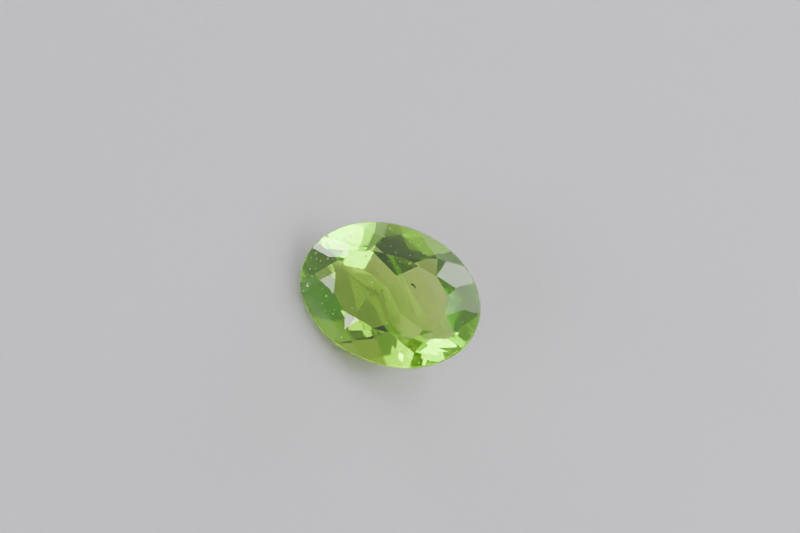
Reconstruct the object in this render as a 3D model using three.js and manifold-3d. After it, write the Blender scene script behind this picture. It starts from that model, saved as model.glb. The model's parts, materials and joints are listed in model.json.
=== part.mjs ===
// An oval cut stone, about 8 by 6 mm, lying on a corner facet of its pavilion.
// It is one solid: a flat table, a ring of star facets, kite facets and
// upper girdle facets form the crown, a thin girdle runs round the middle,
// and a ring of steep facets with a ring of gentle ones inside it, down to
// the culet, form the pavilion. Each facet is a flat cut through the rough, so
// the stone is what is left of space behind all of the facet planes.
// Millimetres, +Z up.

import * as THREE from "three";
import Module from "manifold-3d";
import { ConvexGeometry } from "three/addons/geometries/ConvexGeometry.js";
import { mergeVertices } from "three/addons/utils/BufferGeometryUtils.js";

const wasm = await Module();
wasm.setup();

// Outline of the girdle. The facets are set out round a middle of their own,
// and the outline's lies a little to one side of it, so that the girdle is
// thinner at one end. The thickness is that of a girdle without this shift
const LENGTH = 8.0;
const WIDTH = 6.0;
const OUTLINE_SHIFT = [-0.1, 0.04];
const GIRDLE_THICKNESS = 0.15;
const GIRDLE_FLATS = 96;

// Crown. An index is the place of a facet round the outline, in degrees of
// the ellipse's own parameter, given for one quarter of the stone
const CROWN_HEIGHT = 0.7;
const CROWN_INDEX = [0, 25.8, 51.3, 90];
// The table's reach as a share of the outline's, and how far down the crown
// the star facets go
const TABLE_SHARE = { ends: 0.636, corners: 0.622, sides: 0.548 };
const STAR_DROP_SHARE = 0.389;

// Pavilion. Eight steep facets reach in from the girdle, one at each end,
// one on each side and one at each corner of the oval. Each ends in a point,
// placed here by shares of the outline's half length and half width
const PAVILION_DEPTH = 2.61;
const CORNER_INDEX = 38.5;
const END_FACET = { slope: 44.2, point: [0.552, 0] };
const CORNER_FACET = { slope: 46.3, point: [0.424, 0.197] };
const SIDE_FACET = { slope: 43.9, point: [0, 0.296] };
// Two opposite corners are less steep than the other two
const SHALLOW_CORNER_SLOPE = 33.1;

// The shallow corner facet that the stone lies on, by its number round it
const REST_FACET = 5;

// A small shell-shaped chip out of the girdle's upper edge
const CHIP_INDEX = 158.5;
const CHIP_RADIUS = 0.17;
const CHIP_BITE = 0.07;
const CHIP_DETAIL = 2;
const CHIP_STRETCH = [1.2, 0.8, 0.9];

// Vertices nearer together than this are one vertex
const WELD = 0.0005;
// Half the side of the square that each facet is cut from
const ROUGH = 20;
// A squared length below this is too short to give a direction
const TOO_SHORT = 0.01;

const radians = THREE.MathUtils.degToRad;
const HALF_GIRDLE = GIRDLE_THICKNESS / 2;
const TABLE_Z = HALF_GIRDLE + CROWN_HEIGHT;
const CULET_Z = -HALF_GIRDLE - PAVILION_DEPTH;

// Spreads the indices of one quarter over all four, in order
function fullTurn(quarter) {
  const all = new Set();
  for (const index of quarter) {
    for (const turned of [index, 180 - index, 180 + index, 360 - index]) {
      all.add(turned % 360);
    }
  }
  return [...all].sort((a, b) => a - b).map(radians);
}

// Point on an oval of the outline's shape, scaled, at a height
function onOval(parameter, scale, z) {
  const x = (LENGTH / 2) * scale * Math.cos(parameter);
  const y = (WIDTH / 2) * scale * Math.sin(parameter);
  return new THREE.Vector3(x, y, z);
}

// Direction along the outline at a parameter
function alongOutline(parameter) {
  return new THREE.Vector3(-LENGTH * Math.sin(parameter), WIDTH * Math.cos(parameter), 0).normalize();
}

// Facet plane through three points, facing away from the middle of the stone
function facetThrough(a, b, c) {
  const facet = new THREE.Plane().setFromCoplanarPoints(a, b, c);
  return facet.constant > 0 ? facet.negate() : facet;
}

// Where the edge between two facets crosses a height
function edgeAtHeight(first, second, z) {
  const along = first.normal.clone().cross(second.normal);
  const start = new THREE.Vector3()
    .addScaledVector(second.normal.clone().cross(along), -first.constant)
    .addScaledVector(along.clone().cross(first.normal), -second.constant)
    .divideScalar(along.lengthSq());
  return start.addScaledVector(along, (z - start.z) / along.z);
}

// Each entry of a ring with the one after it, and the parameter midway between
function neighbours(ring) {
  return ring.map((parameter, k) => {
    const next = ring[(k + 1) % ring.length];
    const ahead = next > parameter ? next : next + 2 * Math.PI;
    return { k, after: (k + 1) % ring.length, parameter, ahead, middle: (parameter + ahead) / 2 };
  });
}

// Point on the table's edge, whose share of the outline goes smoothly from
// that of the ends through that of the corners to that of the sides
function tableCorner(parameter) {
  const { ends, corners, sides } = TABLE_SHARE;
  const middle = (ends + sides) / 2;
  const lengthwise = ((ends - sides) / 2) * Math.cos(2 * parameter);
  const cornerwise = ((middle - corners) / 2) * Math.cos(4 * parameter);
  return onOval(parameter, (middle + corners) / 2 + lengthwise + cornerwise, TABLE_Z);
}

function crownFacets() {
  const ring = fullTurn(CROWN_INDEX);
  const kites = ring.map((parameter) => {
    const foot = onOval(parameter, 1, HALF_GIRDLE);
    return facetThrough(foot, tableCorner(parameter), foot.clone().add(alongOutline(parameter)));
  });
  const facets = [new THREE.Plane(new THREE.Vector3(0, 0, 1), -TABLE_Z), ...kites];
  for (const { k, after, parameter, ahead, middle } of neighbours(ring)) {
    const tip = edgeAtHeight(kites[k], kites[after], TABLE_Z - STAR_DROP_SHARE * CROWN_HEIGHT);
    const foot = onOval(middle, 1, HALF_GIRDLE);
    facets.push(facetThrough(tableCorner(parameter), tableCorner(ahead), tip));
    facets.push(facetThrough(tip, onOval(parameter, 1, HALF_GIRDLE), foot));
    facets.push(facetThrough(tip, onOval(ahead, 1, HALF_GIRDLE), foot));
  }
  return facets;
}

// A steep facet that touches the girdle at a parameter and has a slope
function steepFacet(parameter, slope) {
  const outward = alongOutline(parameter).cross(new THREE.Vector3(0, 0, 1));
  const normal = outward.multiplyScalar(Math.sin(slope));
  normal.z = -Math.cos(slope);
  return new THREE.Plane().setFromNormalAndCoplanarPoint(normal, onOval(parameter, 1, -HALF_GIRDLE));
}

// The steep facets in order round the stone, each with its inner point
function outerRing() {
  const ring = [];
  const kinds = [END_FACET, CORNER_FACET, SIDE_FACET, CORNER_FACET];
  const angles = [0, CORNER_INDEX, 90, 180 - CORNER_INDEX];
  for (const half of [1, -1]) {
    kinds.forEach(({ slope, point }, i) => {
      const parameter = radians(angles[i]) + (half < 0 ? Math.PI : 0);
      const facet = steepFacet(parameter, radians(slope));
      const mirror = i > 2 ? -1 : 1;
      const tip = new THREE.Vector3(mirror * half * point[0] * LENGTH / 2, half * point[1] * WIDTH / 2, 0);
      tip.z = -(facet.constant + facet.normal.x * tip.x + facet.normal.y * tip.y) / facet.normal.z;
      const shallow = i === 1;
      ring.push({ tip, facet: shallow ? steepFacet(parameter, radians(SHALLOW_CORNER_SLOPE)) : facet });
    });
  }
  return ring;
}

// The gentle facets, each from the culet to two neighbouring inner points
function innerRing() {
  const culet = new THREE.Vector3(0, 0, CULET_Z);
  const ring = outerRing();
  return ring.map(({ tip }, k) => facetThrough(culet, tip, ring[(k + 1) % ring.length].tip));
}

function pavilionFacets() {
  return [...outerRing().map(({ facet }) => facet), ...innerRing()];
}

// Point on the finished outline, at a height
function onOutline(parameter, z) {
  const [x, y] = OUTLINE_SHIFT;
  return onOval(parameter, 1, z).add(new THREE.Vector3(x, y, 0));
}

function girdleFacets() {
  return Array.from({ length: GIRDLE_FLATS }, (_, i) => {
    const parameter = (2 * Math.PI * (i + 0.5)) / GIRDLE_FLATS;
    const foot = onOutline(parameter, 0);
    return facetThrough(foot, foot.clone().add(alongOutline(parameter)), onOutline(parameter, 1));
  });
}

// A large square in the plane of a facet
function squareIn(facet) {
  const side = new THREE.Vector3(0, 1, 0).cross(facet.normal);
  if (side.lengthSq() < TOO_SHORT) side.set(1, 0, 0);
  side.normalize();
  const up = facet.normal.clone().cross(side);
  const middle = facet.coplanarPoint(new THREE.Vector3());
  const corners = [[-1, -1], [1, -1], [1, 1], [-1, 1]];
  return corners.map(([u, v]) =>
    middle.clone().addScaledVector(side, u * ROUGH).addScaledVector(up, v * ROUGH));
}

// The part of a polygon that lies behind a plane
function cutBehind(polygon, plane) {
  const kept = [];
  polygon.forEach((corner, i) => {
    const next = polygon[(i + 1) % polygon.length];
    const here = plane.distanceToPoint(corner);
    const there = plane.distanceToPoint(next);
    if (here <= 0) kept.push(corner);
    if (here * there < 0) kept.push(corner.clone().lerp(next, here / (here - there)));
  });
  return kept;
}

// The closed solid behind all of the facet planes, as the hull of its corners
function solidBehind(facets) {
  const corners = [];
  for (const facet of facets) {
    let face = squareIn(facet);
    for (const other of facets) {
      if (other !== facet) face = cutBehind(face, other);
    }
    for (const point of face) {
      if (!corners.some((corner) => corner.distanceTo(point) < WELD)) corners.push(point);
    }
  }
  const hull = new ConvexGeometry(corners);
  hull.deleteAttribute("normal");
  return mergeVertices(hull, WELD / 10);
}

// Turns the stone until a facet faces straight down and its long side runs
// along +X, then sets the middle of its underside at the origin
function layOn(stone, facet) {
  stone.quaternion.setFromUnitVectors(facet.normal, new THREE.Vector3(0, 0, -1));
  const longSide = new THREE.Vector3(1, 0, 0).applyQuaternion(stone.quaternion);
  const turn = -Math.atan2(longSide.y, longSide.x);
  stone.quaternion.premultiply(new THREE.Quaternion().setFromAxisAngle(new THREE.Vector3(0, 0, 1), turn));
  const box = new THREE.Box3().setFromObject(stone, true);
  const middle = box.getCenter(new THREE.Vector3());
  stone.position.set(-middle.x, -middle.y, -box.min.z);
}

// A merged closed mesh as a solid that can be cut
function toSolid(geometry) {
  return new wasm.Manifold(new wasm.Mesh({
    numProp: 3,
    vertProperties: new Float32Array(geometry.attributes.position.array),
    triVerts: new Uint32Array(geometry.index.array),
  }));
}

// A cut solid back as a mesh
function toGeometry(solid) {
  const { vertProperties, triVerts } = solid.getMesh();
  const geometry = new THREE.BufferGeometry();
  geometry.setAttribute("position", new THREE.BufferAttribute(vertProperties, 3));
  geometry.setIndex(new THREE.BufferAttribute(triVerts, 1));
  return geometry;
}

// The rounded shape that a blow took out of the girdle
function chip() {
  const ball = new THREE.IcosahedronGeometry(CHIP_RADIUS, CHIP_DETAIL);
  ball.deleteAttribute("normal");
  ball.deleteAttribute("uv");
  const index = radians(CHIP_INDEX);
  const outward = alongOutline(index).cross(new THREE.Vector3(0, 0, 1));
  const middle = onOutline(index, HALF_GIRDLE).addScaledVector(outward, CHIP_RADIUS - CHIP_BITE);
  ball.scale(...CHIP_STRETCH);
  ball.rotateZ(Math.atan2(outward.y, outward.x) + Math.PI / 2);
  ball.translate(...middle.toArray());
  return mergeVertices(ball, WELD / 10);
}

function buildStone() {
  const cut = solidBehind([...crownFacets(), ...girdleFacets(), ...pavilionFacets()]);
  const geometry = toGeometry(toSolid(cut).subtract(toSolid(chip())));
  const material = new THREE.MeshStandardMaterial({ color: 0x9cc23e, roughness: 0.05, metalness: 0 });
  const stone = new THREE.Mesh(geometry, material);
  stone.name = "stone";
  layOn(stone, outerRing()[REST_FACET].facet);
  return stone;
}

const part = new THREE.Group();
part.add(buildStone());
export default part;
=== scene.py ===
"""A loose oval cut stone, clear yellow-green, lying on one facet on a pale surface.

The shape is the part's own solid. This script wears its edges, grinds its
girdle, adds dust and inclusions, and sets the surface, the light and the camera.
"""
import json
import logging
import math
from dataclasses import dataclass, field
from enum import Enum
from itertools import combinations

import bmesh
import bpy
import numpy as np
from mathutils import Matrix, Vector
from mathutils.bvhtree import BVHTree


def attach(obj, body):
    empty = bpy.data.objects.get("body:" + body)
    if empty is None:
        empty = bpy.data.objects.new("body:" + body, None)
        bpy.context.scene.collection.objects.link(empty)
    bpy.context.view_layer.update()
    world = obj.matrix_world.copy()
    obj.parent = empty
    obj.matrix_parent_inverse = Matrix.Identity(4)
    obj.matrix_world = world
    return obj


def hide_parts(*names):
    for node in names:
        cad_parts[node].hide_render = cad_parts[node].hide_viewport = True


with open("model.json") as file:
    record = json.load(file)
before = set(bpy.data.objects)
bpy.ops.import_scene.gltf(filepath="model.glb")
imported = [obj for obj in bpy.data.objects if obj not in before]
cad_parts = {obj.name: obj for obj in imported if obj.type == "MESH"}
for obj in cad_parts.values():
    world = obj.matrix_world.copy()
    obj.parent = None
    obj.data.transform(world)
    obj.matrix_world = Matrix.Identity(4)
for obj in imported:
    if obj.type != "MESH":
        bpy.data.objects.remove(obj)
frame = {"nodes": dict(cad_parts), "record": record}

LOG = logging.getLogger("cut_stone")
MM = 0.001
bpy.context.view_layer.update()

# The part's node, and half the stone's length and width in metres
STONE = "stone"
HALF_LENGTH = 4.0 * MM
HALF_WIDTH = 3.0 * MM

# The photo's frame, and where the oval's outline lies in it, in its pixels. The
# turn is how far the oval's long side is turned clockwise there, in degrees
PHOTO_WIDTH = 800
PHOTO_HEIGHT = 533
OUTLINE_CENTRE_X = 390.1
OUTLINE_CENTRE_Y = 294.6
OUTLINE_LENGTH = 187.0
OUTLINE_WIDTH = 140.0
OUTLINE_TURN = 21.5


class Slot(Enum):
    """Material slots of the record."""

    CRYSTAL = "green_crystal"


def linear(hex_colour: str) -> tuple[float, float, float, float]:
    """Turn an sRGB hex colour to linear light.

    Args:
        hex_colour: Six hex digits, with or without a leading hash.

    Returns:
        Red, green, blue and an alpha of one.
    """
    digits = hex_colour.lstrip("#")
    parts = [int(digits[i:i + 2], 16) / 255 for i in (0, 2, 4)]
    light = [p / 12.92 if p <= 0.04045 else ((p + 0.055) / 1.055) ** 2.4 for p in parts]
    return (light[0], light[1], light[2], 1.0)


def add_node(tree: bpy.types.NodeTree, kind: str, inputs: dict | None = None,
             **settings: object) -> bpy.types.Node:
    """Add a node, with its settings and with values or links for its inputs.

    Args:
        tree: The node tree that gets the node.
        kind: The node's type name.
        inputs: Values or output sockets by input name or number.
        **settings: Properties of the node itself.

    Returns:
        The new node.
    """
    node = tree.nodes.new(kind)
    for name, value in settings.items():
        setattr(node, name, value)
    for name, value in (inputs or {}).items():
        if isinstance(value, bpy.types.NodeSocket):
            tree.links.new(value, node.inputs[name])
        else:
            node.inputs[name].default_value = value
    return node


def new_tree(name: str) -> tuple[bpy.types.Material, bpy.types.NodeTree]:
    """Make a material with an empty node tree.

    Args:
        name: The material's name.

    Returns:
        The material and its tree.
    """
    material = bpy.data.materials.new(name)
    material.use_nodes = True
    material.node_tree.nodes.clear()
    return material, material.node_tree


def new_object(name: str, data: bpy.types.ID) -> bpy.types.Object:
    """Make an object and put it in the scene.

    Args:
        name: The object's name.
        data: Its mesh, light or camera.

    Returns:
        The object, at the origin.
    """
    made = bpy.data.objects.new(name, data)
    bpy.context.scene.collection.objects.link(made)
    return made


def mesh_points(mesh: bpy.types.Mesh) -> np.ndarray:
    """Read a mesh's vertices as an array.

    Args:
        mesh: The mesh to read.

    Returns:
        One row of three coordinates for each vertex.
    """
    points = np.empty(len(mesh.vertices) * 3)
    mesh.vertices.foreach_get("co", points)
    return points.reshape(-1, 3)


@dataclass(frozen=True)
class StoneAxes:
    """Directions of the stone as it lies, and the middle of its girdle, in metres."""

    along: Vector
    across: Vector
    table: Vector
    middle: Vector

    @classmethod
    def from_frame(cls, node: str, end_band: float = 0.001) -> "StoneAxes":
        """Read the axes from the table's mount and the node's mesh.

        The middle is halfway along and across the outline, and as high as the
        points of the girdle at the stone's end.

        Args:
            node: The name of the stone's node.
            end_band: How near to the end a point counts, as a share of the length.

        Returns:
            The axes of the stone at rest.
        """
        mounts = {mount["name"]: mount for mount in frame["record"]["mounts"]}
        table = Vector(mounts["table"]["axis"]).normalized()
        along = Vector((table.z, 0.0, -table.x)).normalized()
        across = table.cross(along)
        points = mesh_points(frame["nodes"][node].data)
        turned = points @ np.array([along, across, table]).T
        low, high = turned.min(axis=0), turned.max(axis=0)
        ends = turned[turned[:, 0] > high[0] - end_band * (high[0] - low[0])]
        middle = [(low[0] + high[0]) / 2, (low[1] + high[1]) / 2, ends[:, 2].mean()]
        place = along * middle[0] + across * middle[1] + table * middle[2]
        return cls(along, across, table, place)


@dataclass(frozen=True)
class PolishedCrystal:
    """Clear crystal, cut and polished on a lap, its girdle left finely ground.

    The eye sees flat mirror-like facets with faint rubbed spots, a body colour
    that deepens with the length of the light's path, and a dull girdle.
    """

    refraction: float = 1.55
    # On each metre of its way a colour fades by the density times what the
    # passing share lacks of one
    density: float = 1200.0
    passing: tuple[float, float, float] = (0.829, 0.930, 0.392)
    # Just under one, which makes the body slightly milky
    clear_share: float = 0.95
    # The lap's own lines, about 0.001 mm apart, are too fine to show, so the wear
    # of the polish is drawn as rubbed spots about a facet's width apart
    rub_spacing_mm: float = 0.9
    rub_detail: float = 3.0
    rub_start: float = 0.45
    rub_full: float = 0.8
    rub_roughness: float = 0.035
    # Shares of the way from the stone's middle to its outline
    rim_start: float = 0.986
    rim_full: float = 0.992
    rim_roughness: float = 0.5

    def rim(self, tree: bpy.types.NodeTree, place: bpy.types.NodeSocket,
            axes: StoneAxes) -> bpy.types.NodeSocket:
        """Find the girdle: where the way from the middle comes close to one.

        The way is measured in half lengths along the stone and in half widths
        across it.

        Args:
            tree: The material's node tree.
            place: The socket that gives a point's place.
            axes: The stone's directions and middle.

        Returns:
            A socket that is zero on the facets and one on the girdle.
        """
        from_middle = add_node(
            tree, "ShaderNodeVectorMath", {0: place, 1: axes.middle}, operation="SUBTRACT")
        shares = [
            add_node(tree, "ShaderNodeVectorMath", {
                0: from_middle.outputs["Vector"], 1: way / half}, operation="DOT_PRODUCT")
            for way, half in ((axes.along, HALF_LENGTH), (axes.across, HALF_WIDTH))]
        flat = add_node(tree, "ShaderNodeCombineXYZ", {
            "X": shares[0].outputs["Value"], "Y": shares[1].outputs["Value"]})
        reach = add_node(tree, "ShaderNodeVectorMath", {0: flat.outputs["Vector"]}, operation="LENGTH")
        band = add_node(tree, "ShaderNodeMapRange", {
            "Value": reach.outputs["Value"], "From Min": self.rim_start, "From Max": self.rim_full})
        return band.outputs["Result"]

    def make(self, axes: StoneAxes) -> bpy.types.Material:
        """Build the material.

        Args:
            axes: The stone's directions and middle.

        Returns:
            A see-through material with absorption in its volume.
        """
        material, tree = new_tree("crystal_lap_polished")
        place = add_node(tree, "ShaderNodeTexCoord").outputs["Object"]
        rub = add_node(tree, "ShaderNodeTexNoise", {
            "Vector": place, "Scale": 1 / (self.rub_spacing_mm * MM), "Detail": self.rub_detail})
        polish = add_node(tree, "ShaderNodeMapRange", {
            "Value": rub.outputs["Fac"], "From Min": self.rub_start, "From Max": self.rub_full,
            "To Min": 0.0, "To Max": self.rub_roughness})
        roughness = add_node(tree, "ShaderNodeMix", {
            "Factor": self.rim(tree, place, axes), "A": polish.outputs["Result"], "B": self.rim_roughness})
        shader = add_node(tree, "ShaderNodeBsdfPrincipled", {
            "Base Color": (1.0, 1.0, 1.0, 1.0), "Roughness": roughness.outputs["Result"],
            "IOR": self.refraction, "Transmission Weight": self.clear_share})
        volume = add_node(tree, "ShaderNodeVolumeAbsorption", {
            "Color": (*self.passing, 1.0), "Density": self.density})
        add_node(tree, "ShaderNodeOutputMaterial", {
            "Surface": shader.outputs["BSDF"], "Volume": volume.outputs["Volume"]})
        return material


@dataclass(frozen=True)
class SurfaceDust:
    """Fine mineral and lint dust that has settled on the crown.

    The eye sees it as pale dots on the dark facets and as grey dots on the
    bright ones. Its tone changes from grain to grain.
    """

    dark: str = "#5e5a3c"
    pale: str = "#dcd6b4"
    roughness: float = 0.9
    # About as far apart as the grains are where they lie close together
    tone_spacing_mm: float = 0.5
    tone_detail: float = 1.0
    tone_start: float = 0.35
    tone_full: float = 0.65

    def make(self) -> bpy.types.Material:
        """Build the material.

        Returns:
            A matt material whose tone varies over the stone.
        """
        material, tree = new_tree("dust_settled_mineral")
        place = add_node(tree, "ShaderNodeTexCoord").outputs["Object"]
        change = add_node(tree, "ShaderNodeTexNoise", {
            "Vector": place, "Scale": 1 / (self.tone_spacing_mm * MM), "Detail": self.tone_detail})
        share = add_node(tree, "ShaderNodeMapRange", {
            "Value": change.outputs["Fac"], "From Min": self.tone_start, "From Max": self.tone_full})
        tone = add_node(tree, "ShaderNodeMix", {
            "Factor": share.outputs["Result"], "A": linear(self.dark), "B": linear(self.pale)},
            data_type="RGBA")
        shader = add_node(tree, "ShaderNodeBsdfPrincipled", {
            "Base Color": tone.outputs["Result"], "Roughness": self.roughness})
        add_node(tree, "ShaderNodeOutputMaterial", {"Surface": shader.outputs["BSDF"]})
        return material


@dataclass(frozen=True)
class DarkInclusion:
    """Dark mineral grains grown into the crystal.

    The eye sees them as dull, nearly black specks with a slightly uneven tone.
    """

    dark: str = "#15180c"
    pale: str = "#3a3d22"
    roughness: float = 0.6
    # The mineral's own grain, about 0.01 mm, is too fine to show and is drawn coarser
    grain_mm: float = 0.05
    grain_detail: float = 2.0

    def make(self) -> bpy.types.Material:
        """Build the material.

        Returns:
            A dark material with a grainy tone.
        """
        material, tree = new_tree("inclusion_dark_mineral")
        place = add_node(tree, "ShaderNodeTexCoord").outputs["Object"]
        grain = add_node(tree, "ShaderNodeTexNoise", {
            "Vector": place, "Scale": 1 / (self.grain_mm * MM), "Detail": self.grain_detail})
        tone = add_node(tree, "ShaderNodeMix", {
            "Factor": grain.outputs["Fac"], "A": linear(self.dark), "B": linear(self.pale)},
            data_type="RGBA")
        shader = add_node(tree, "ShaderNodeBsdfPrincipled", {
            "Base Color": tone.outputs["Result"], "Roughness": self.roughness})
        add_node(tree, "ShaderNodeOutputMaterial", {"Surface": shader.outputs["BSDF"]})
        return material


@dataclass(frozen=True)
class MouldedSheet:
    """Pale plastic sheet, moulded with a satin surface.

    Light goes a few millimetres into it and comes out again, so the eye sees
    soft shadows, the stone's own colour beside it, and no black under it.
    """

    colour: str = "#aeadb1"
    roughness: float = 0.55
    refraction: float = 1.45
    scatter: float = 7.0 * MM
    # The mould's own grain, about 0.03 mm, is too fine to show and is drawn coarser
    grain_mm: float = 0.35
    grain_detail: float = 3.0
    grain_contrast: float = 0.03

    def make(self) -> bpy.types.Material:
        """Build the material.

        Returns:
            A satin material with light scattered under its surface.
        """
        material, tree = new_tree("plastic_satin_moulded")
        place = add_node(tree, "ShaderNodeTexCoord").outputs["Object"]
        grain = add_node(tree, "ShaderNodeTexNoise", {
            "Vector": place, "Scale": 1 / (self.grain_mm * MM), "Detail": self.grain_detail})
        value = add_node(tree, "ShaderNodeMapRange", {
            "Value": grain.outputs["Fac"],
            "To Min": 1 - self.grain_contrast, "To Max": 1 + self.grain_contrast})
        tone = add_node(tree, "ShaderNodeHueSaturation", {
            "Color": linear(self.colour), "Value": value.outputs["Result"]})
        shader = add_node(tree, "ShaderNodeBsdfPrincipled", {
            "Base Color": tone.outputs["Color"], "Roughness": self.roughness, "IOR": self.refraction,
            "Subsurface Weight": 1.0, "Subsurface Radius": (1.0, 1.0, 1.0),
            "Subsurface Scale": self.scatter})
        add_node(tree, "ShaderNodeOutputMaterial", {"Surface": shader.outputs["BSDF"]})
        return material


@dataclass
class Gem:
    """The cut stone itself: the part's solid with its facet edges softly worn.

    Vertices nearer together than the weld are one, triangles that lie flatter
    than the flat angle are one facet, and edges sharper than the edge angle, in
    degrees, are worn.
    """

    edge_wear: float = 0.016 * MM
    weld: float = 0.0002 * MM
    flat_angle: float = 0.4
    edge_angle: float = 6.0
    finish: PolishedCrystal = field(default_factory=PolishedCrystal)

    def facets(self) -> bpy.types.Mesh:
        """Copy the part's solid and join its triangles to facets.

        Returns:
            A closed mesh with one face for each facet.
        """
        mesh = bpy.data.meshes.new("gem")
        cut = bmesh.new()
        cut.from_mesh(frame["nodes"][STONE].data)
        bmesh.ops.remove_doubles(cut, verts=cut.verts, dist=self.weld)
        flat = math.radians(self.flat_angle)
        bmesh.ops.dissolve_limit(cut, angle_limit=flat, verts=cut.verts, edges=cut.edges)
        cut.to_mesh(mesh)
        cut.free()
        return mesh

    def build(self, axes: StoneAxes) -> bpy.types.Object:
        """Wear the edges of the facets and dress the stone.

        Args:
            axes: The stone's directions and middle.

        Returns:
            The finished piece, which stands for the part's node.
        """
        mesh = self.facets()
        piece = new_object("gem", mesh)
        wear = piece.modifiers.new("worn_edges", "BEVEL")
        wear.width = self.edge_wear
        wear.segments = 1
        wear.limit_method = "ANGLE"
        wear.angle_limit = math.radians(self.edge_angle)
        mesh.materials.append(self.finish.make(axes))
        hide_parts(STONE)
        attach(piece, "root")
        LOG.info("gem: %d faces before its edges are worn", len(mesh.polygons))
        return piece


@dataclass
class View:
    """The photo's view of the stone: nearly along the table's normal.

    It leans away from that normal along and across the stone, in radians.
    """

    axes: StoneAxes
    lean_along: float = 0.114
    lean_across: float = -0.105
    distance: float = 0.25
    sensor_mm: float = 36.0

    @property
    def pixel(self) -> float:
        """Size of one of the photo's pixels at the stone, in metres."""
        return 2 * HALF_LENGTH / OUTLINE_LENGTH

    def directions(self) -> tuple[Vector, Vector, Vector]:
        """Work out the camera's right, up and back directions.

        Returns:
            Right, up and back, as unit vectors.
        """
        axes = self.axes
        back = axes.along * math.sin(self.lean_along) + axes.across * math.sin(self.lean_across)
        back = (back + axes.table * math.sqrt(1 - back.length_squared)).normalized()
        level = (axes.along - back * axes.along.dot(back)).normalized()
        rise = back.cross(level)
        turn = math.radians(OUTLINE_TURN)
        right = level * math.cos(turn) + rise * math.sin(turn)
        return right, back.cross(right), back

    def place(self) -> Vector:
        """Work out where the camera stands, so that the outline lies as in the photo.

        Returns:
            The camera's place.
        """
        right, up, back = self.directions()
        aim = self.axes.middle + right * (PHOTO_WIDTH / 2 - OUTLINE_CENTRE_X) * self.pixel
        return aim + up * (OUTLINE_CENTRE_Y - PHOTO_HEIGHT / 2) * self.pixel + back * self.distance

    def line(self, x: float, y: float) -> tuple[Vector, Vector]:
        """Find the line of sight through a point of the photo.

        Args:
            x: Pixels from the photo's left side.
            y: Pixels from its top.

        Returns:
            The camera's place and the line's direction.
        """
        right, up, back = self.directions()
        sight = right * (x - PHOTO_WIDTH / 2) * self.pixel - up * (y - PHOTO_HEIGHT / 2) * self.pixel
        return self.place(), (sight - back * self.distance).normalized()

    def add_camera(self) -> bpy.types.Object:
        """Make the camera that sees the outline where the photo does.

        Returns:
            The camera.
        """
        data = bpy.data.cameras.new("camera")
        data.sensor_width = self.sensor_mm
        data.lens = data.sensor_width * self.distance / (PHOTO_WIDTH * self.pixel)
        data.clip_start = MM
        camera = new_object("camera", data)
        turned = Matrix(self.directions()).transposed()
        camera.matrix_world = Matrix.Translation(self.place()) @ turned.to_4x4()
        bpy.context.scene.camera = camera
        return camera


@dataclass(frozen=True)
class Speck:
    """One grain.

    It has its place in the photo in pixels, its size, its stretch, its turn on
    the facet in degrees, and its depth in the stone, or none on the crown.
    """

    x: float
    y: float
    size_mm: float
    stretch: float = 1.0
    turn: float = 0.0
    depth_mm: float = 0.0


# Grains that stand out in the photo: those on the crown, and those inside
CROWN_SPECKS = (
    Speck(310, 269, 0.075), Speck(312, 276, 0.08), Speck(325, 275, 0.09), Speck(305, 276, 0.06),
    Speck(308, 286, 0.11, stretch=1.4), Speck(322.5, 288.5, 0.07, stretch=1.6),
    Speck(303.5, 291, 0.06), Speck(326.5, 296, 0.07), Speck(325, 243, 0.06), Speck(329, 245, 0.05),
    Speck(326, 246.5, 0.05), Speck(335, 243.5, 0.06), Speck(341, 246, 0.05), Speck(366, 257, 0.05),
    Speck(372, 255, 0.05), Speck(368, 261, 0.045), Speck(382, 291, 0.08), Speck(402.5, 245, 0.09),
    Speck(418, 242, 0.05), Speck(385, 296, 0.05), Speck(409, 271.5, 0.1, stretch=1.8),
    Speck(413.5, 271, 0.06), Speck(352, 308, 0.05), Speck(366, 318, 0.05),
)
INNER_SPECKS = (
    Speck(412.6, 284.9, 0.15, stretch=2.6, turn=-19, depth_mm=0.4),
    Speck(415.0, 287.2, 0.09, stretch=1.8, turn=-30, depth_mm=0.45),
    Speck(375, 290, 0.06, stretch=1.5, depth_mm=0.6),
    Speck(370, 277, 0.04, depth_mm=0.4),
    Speck(384, 280, 0.05, stretch=1.4, turn=20, depth_mm=0.7),
    Speck(398, 302, 0.04, stretch=1.2, depth_mm=0.8),
)


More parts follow.
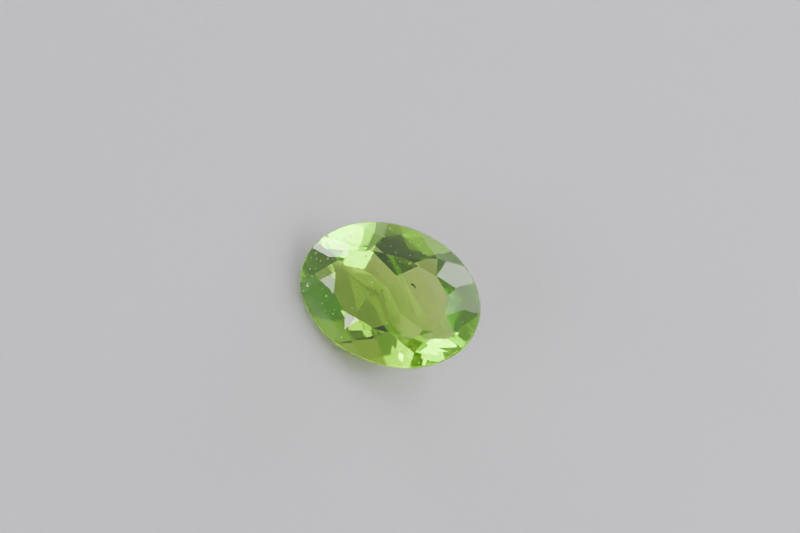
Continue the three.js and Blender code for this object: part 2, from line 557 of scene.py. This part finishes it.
@dataclass
class Grains:
    """Small angular grains on the crown or inside the stone.

    Each is an icosahedron, flattened against its facet, whose corners are
    pushed in and out at random. A grain is placed where the photo's line of
    sight meets the crown, and an inner one further down the same line, after it
    has bent at the surface.
    """

    name: str
    finish: SurfaceDust | DarkInclusion
    specks: tuple[Speck, ...]
    scattered: int = 0
    # Shares of the outline: how far out grains are scattered, and how far they
    # are moved towards the left end
    spread: float = 0.93
    crowded_end: float = 0.0
    size_mm: tuple[float, float] = (0.025, 0.055)
    stretch: tuple[float, float] = (1.0, 2.0)
    depth_mm: tuple[float, float] = (0.0, 0.0)
    seed: int = 7
    roughness: float = 0.3
    # Shares of a grain's size: its thickness, and how far its middle is above
    # the facet, which is less than half of that, so that it sits in the surface
    thickness: float = 0.6
    lift: float = 0.15

    def scatter(self, rng: np.random.Generator) -> list[Speck]:
        """Draw further grains inside the outline.

        They are spread evenly over a disc and moved towards its left end, most
        in its middle. Their distance from its long axis is then multiplied by
        the disc's half width there, and the disc stretched and turned to the
        outline.

        Args:
            rng: The source of random numbers.

        Returns:
            The grains, placed in the photo's pixels.
        """
        radius = np.sqrt(rng.random(self.scattered)) * self.spread
        angle = rng.random(self.scattered) * 2 * math.pi
        u = radius * np.cos(angle)
        u = u - self.crowded_end * (1 - u * u)
        v = radius * np.sin(angle) * np.sqrt(1 - u * u)
        turn = math.radians(OUTLINE_TURN)
        half, ratio = OUTLINE_LENGTH / 2, OUTLINE_WIDTH / OUTLINE_LENGTH
        x = OUTLINE_CENTRE_X + half * (u * math.cos(turn) - v * ratio * math.sin(turn))
        y = OUTLINE_CENTRE_Y + half * (u * math.sin(turn) + v * ratio * math.cos(turn))
        size = rng.uniform(*self.size_mm, self.scattered)
        stretch = rng.uniform(*self.stretch, self.scattered)
        turns = rng.uniform(0, 180, self.scattered)
        depth = rng.uniform(*self.depth_mm, self.scattered)
        return [Speck(*row) for row in zip(x, y, size, stretch, turns, depth)]

    def settle(self, speck: Speck, solid: BVHTree, axes: StoneAxes,
               view: View) -> tuple[np.ndarray, np.ndarray] | None:
        """Find where a grain lies and how it is turned.

        Args:
            speck: The grain.
            solid: The stone's faces, to look for the one that is seen.
            axes: The stone's directions.
            view: The photo's view of the stone.

        Returns:
            The grain's middle and, as rows, its length, width and upright
            directions, or nothing where the line of sight misses the stone.
        """
        start, sight = view.line(speck.x, speck.y)
        place, normal, _, _ = solid.ray_cast(start, sight)
        if place is None:
            return None
        if speck.depth_mm > 0:
            place = place + bent(sight, normal, PolishedCrystal.refraction) * speck.depth_mm * MM
        else:
            place = place + normal * self.lift * speck.size_mm * MM
        side = normal.cross(axes.along).normalized()
        turn = math.radians(speck.turn)
        length = axes.along * math.cos(turn) + side * math.sin(turn)
        return np.array(place), np.array([length, normal.cross(length).normalized(), normal])

    def build(self, axes: StoneAxes, view: View) -> bpy.types.Object:
        """Make all the grains as one piece.

        Args:
            axes: The stone's directions.
            view: The photo's view of the stone.

        Returns:
            The piece, riding with the stone.
        """
        rng = np.random.default_rng(self.seed)
        source = frame["nodes"][STONE].data
        solid = BVHTree.FromPolygons(
            [vertex.co for vertex in source.vertices], [tuple(face.vertices) for face in source.polygons])
        corners, faces = icosahedron()
        points, triangles = [], []
        for speck in [*self.specks, *self.scatter(rng)]:
            found = self.settle(speck, solid, axes, view)
            if found is None:
                continue
            place, basis = found
            rough = rng.uniform(1 - self.roughness, 1 + self.roughness, (len(corners), 1))
            longer = math.sqrt(speck.stretch)
            shape = corners * rough * np.array([longer, 1 / longer, self.thickness])
            triangles.append(faces + len(corners) * len(points))
            points.append(shape * (speck.size_mm * MM / 2) @ basis + place)
        mesh = bpy.data.meshes.new(self.name)
        mesh.from_pydata(np.concatenate(points).tolist(), [], np.concatenate(triangles).tolist())
        mesh.materials.append(self.finish.make())
        piece = new_object(self.name, mesh)
        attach(piece, "root")
        LOG.info("%s: %d grains", self.name, len(points))
        return piece


def icosahedron() -> tuple[np.ndarray, np.ndarray]:
    """Work out the 12 corners and 20 faces of an icosahedron of radius one.

    The corners are the cyclic turns of (0, 1, golden ratio) with all signs. The
    faces are the threes of corners that are one edge apart, turned outwards.

    Returns:
        The corners and the faces, as rows.
    """
    golden = (1 + math.sqrt(5)) / 2
    signs = [(a, b) for a in (-1, 1) for b in (-1, 1)]
    corners = np.array([np.roll((0, a, b * golden), k) for k in range(3) for a, b in signs])
    # An edge joins (0, 1, golden ratio) and (0, -1, golden ratio)
    edge = 2.0
    near = np.isclose(np.linalg.norm(corners[:, None] - corners[None], axis=2), edge)
    faces = []
    for i, j, k in combinations(range(len(corners)), 3):
        if near[i, j] and near[j, k] and near[i, k]:
            across = np.cross(corners[j] - corners[i], corners[k] - corners[i])
            faces.append((i, j, k) if np.dot(across, corners[i]) > 0 else (i, k, j))
    return corners / np.linalg.norm(corners[0]), np.array(faces)


def bent(sight: Vector, normal: Vector, refraction: float) -> Vector:
    """Bend a line of sight as it enters the crystal.

    Args:
        sight: The direction of the line before the surface.
        normal: The surface's outward normal.
        refraction: The crystal's refractive index.

    Returns:
        The direction inside the crystal.
    """
    share = 1 / refraction
    facing = -sight.dot(normal)
    inward = math.sqrt(1 - share * share * (1 - facing * facing))
    return (sight * share + normal * (share * facing - inward)).normalized()


def heading(bearing: float, rise: float) -> Vector:
    """Turn a bearing and a rise, in degrees, to a direction."""
    turn, lift = math.radians(bearing), math.radians(rise)
    return Vector((math.cos(turn) * math.cos(lift), math.sin(turn) * math.cos(lift), math.sin(lift)))


@dataclass(frozen=True)
class Panel:
    """A soft light panel that faces the stone.

    Bearing is in degrees from +X towards +Y, and rise is the angle above the
    surface. Width and height are the panel's size as seen from the stone, also
    in degrees. Radiance is its brightness where an even white room has one.
    """

    bearing: float
    rise: float
    width: float
    height: float
    radiance: float
    distance: float = 0.4

    def span(self, angle: float) -> float:
        """Work out the size that looks as large as an angle, in metres."""
        return 2 * self.distance * math.tan(math.radians(angle) / 2)

    def build(self, aim: Vector) -> bpy.types.Object:
        """Make the panel as an area light.

        Args:
            aim: The point that the panel faces.

        Returns:
            The light.
        """
        away = heading(self.bearing, self.rise)
        name = f"panel_{self.bearing}"
        lamp = bpy.data.lights.new(name, "AREA")
        lamp.shape = "RECTANGLE"
        lamp.size = self.span(self.width)
        lamp.size_y = self.span(self.height)
        lamp.energy = self.radiance * math.pi * lamp.size * lamp.size_y
        light = new_object(name, lamp)
        light.location = aim + away * self.distance
        light.rotation_euler = away.to_track_quat("Z", "Y").to_euler()
        return light


@dataclass(frozen=True)
class RoomPatch:
    """A round patch of the room that is darker or brighter than the rest.

    Bearing and rise are as for a panel. Inside the inner angle the room's light
    is multiplied by the share, so that one below one is like a dark card and
    one above it like a lit wall. Outside the outer angle the room is unchanged.
    """

    bearing: float
    rise: float
    inner: float
    outer: float
    share: float


# The studio: panels and patches that make the facets light up and go dark where
# they do in the photo
PANELS = (
    Panel(bearing=12, rise=46, width=44, height=22, radiance=4.3),
    Panel(bearing=184, rise=30, width=7, height=4, radiance=0.8),
    Panel(bearing=55, rise=16, width=29, height=10, radiance=3.0),
    Panel(bearing=236, rise=25, width=21, height=15, radiance=6.8),
    Panel(bearing=149, rise=2, width=59, height=36, radiance=1.4),
    Panel(bearing=211, rise=10, width=23, height=18, radiance=4.1),
    Panel(bearing=82, rise=60, width=9, height=20, radiance=4.9),
    Panel(bearing=166, rise=3, width=5, height=30, radiance=5.3),
    Panel(bearing=83, rise=3, width=34, height=15, radiance=9.0),
    Panel(bearing=30, rise=62, width=30, height=39, radiance=1.8),
    Panel(bearing=227, rise=35, width=33, height=11, radiance=1.6),
)
ROOM_PATCHES = (
    RoomPatch(bearing=247, rise=68, inner=15, outer=26, share=0.02),
    RoomPatch(bearing=280, rise=17, inner=15, outer=18, share=0.09),
    RoomPatch(bearing=234, rise=36, inner=19, outer=22, share=0.10),
    RoomPatch(bearing=327, rise=33, inner=16, outer=20, share=0.39),
    RoomPatch(bearing=58, rise=27, inner=20, outer=45, share=0.02),
    RoomPatch(bearing=115, rise=74, inner=8, outer=34, share=0.30),
    RoomPatch(bearing=140, rise=3, inner=6, outer=27, share=6.16),
    RoomPatch(bearing=201, rise=57, inner=1, outer=31, share=2.02),
    RoomPatch(bearing=104, rise=50, inner=4, outer=13, share=11.02),
)


@dataclass
class Surroundings:
    """The surface that the stone lies on, and the light."""

    axes: StoneAxes
    sheet: MouldedSheet = field(default_factory=MouldedSheet)
    floor_size: float = 0.6
    floor_depth: float = 0.02
    floor_gap: float = 0.01 * MM
    sky: float = 0.35
    patches: tuple[RoomPatch, ...] = ROOM_PATCHES
    panels: tuple[Panel, ...] = PANELS

    def add_floor(self) -> bpy.types.Object:
        """Lay the pale sheet under the stone, with a thin layer of air between.

        It is a square slab: the corners of its underside come first, then those
        of its top.

        Returns:
            The floor.
        """
        half, top = self.floor_size / 2, -self.floor_gap
        corners = [(x, y, z) for z in (top - self.floor_depth, top)
                   for x, y in ((-half, -half), (half, -half), (half, half), (-half, half))]
        sides = [(i, (i + 1) % 4, (i + 1) % 4 + 4, i + 4) for i in range(4)]
        mesh = bpy.data.meshes.new("floor")
        mesh.from_pydata(corners, [], [(3, 2, 1, 0), (4, 5, 6, 7), *sides])
        floor = new_object("floor", mesh)
        mesh.materials.append(self.sheet.make())
        LOG.info("floor: %.1f m wide", self.floor_size)
        return floor

    def add_room(self) -> None:
        """Set the even light of the room, with its patches."""
        world = bpy.data.worlds.new("soft_room")
        bpy.context.scene.world = world
        world.use_nodes = True
        tree = world.node_tree
        tree.nodes.clear()
        place = add_node(tree, "ShaderNodeTexCoord").outputs["Generated"]
        level = self.sky
        for patch in self.patches:
            facing = add_node(tree, "ShaderNodeVectorMath", {
                0: place, 1: heading(patch.bearing, patch.rise)}, operation="DOT_PRODUCT")
            shade = add_node(tree, "ShaderNodeMapRange", {
                "Value": facing.outputs["Value"],
                "From Min": math.cos(math.radians(patch.outer)),
                "From Max": math.cos(math.radians(patch.inner)),
                "To Min": 1.0, "To Max": patch.share}, interpolation_type="SMOOTHSTEP")
            dimmed = add_node(tree, "ShaderNodeMath", {
                0: level, 1: shade.outputs["Result"]}, operation="MULTIPLY")
            level = dimmed.outputs["Value"]
        sky = add_node(tree, "ShaderNodeBackground", {"Color": (1, 1, 1, 1), "Strength": level})
        add_node(tree, "ShaderNodeOutputWorld", {"Surface": sky.outputs["Background"]})
        LOG.info("room: %d patches", len(self.patches))

    def add_panels(self) -> None:
        """Set the light panels round the stone."""
        for panel in self.panels:
            panel.build(self.axes.middle)
        LOG.info("light: %d panels", len(self.panels))


def set_look(bounces: int = 32, exposure: float = 0.4) -> None:
    """Set the light paths that clear facets need, and the picture's tone.

    Args:
        bounces: How often a ray may be mirrored or bent.
        exposure: The picture's exposure, in stops.
    """
    scene = bpy.context.scene
    scene.cycles.max_bounces = bounces
    scene.cycles.glossy_bounces = bounces
    scene.cycles.transmission_bounces = bounces
    scene.cycles.use_denoising = True
    scene.view_settings.view_transform = "AgX"
    scene.view_settings.look = "AgX - High Contrast"
    scene.view_settings.exposure = exposure


def main() -> None:
    """Build the stone and what surrounds it."""
    logging.basicConfig(level=logging.INFO, format="%(name)s: %(message)s")
    set_look()
    axes = StoneAxes.from_frame(STONE)
    Gem().build(axes)
    around = Surroundings(axes)
    around.add_floor()
    around.add_room()
    around.add_panels()
    view = View(axes)
    view.add_camera()
    dust = Grains("crown_dust", SurfaceDust(), CROWN_SPECKS, scattered=150, crowded_end=0.3)
    dust.build(axes, view)
    inclusions = Grains(
        "inclusions", DarkInclusion(), INNER_SPECKS, scattered=26, size_mm=(0.012, 0.03),
        depth_mm=(0.2, 1.2), seed=11, roughness=0.4)
    inclusions.build(axes, view)


if __name__ == "__main__":
    main()
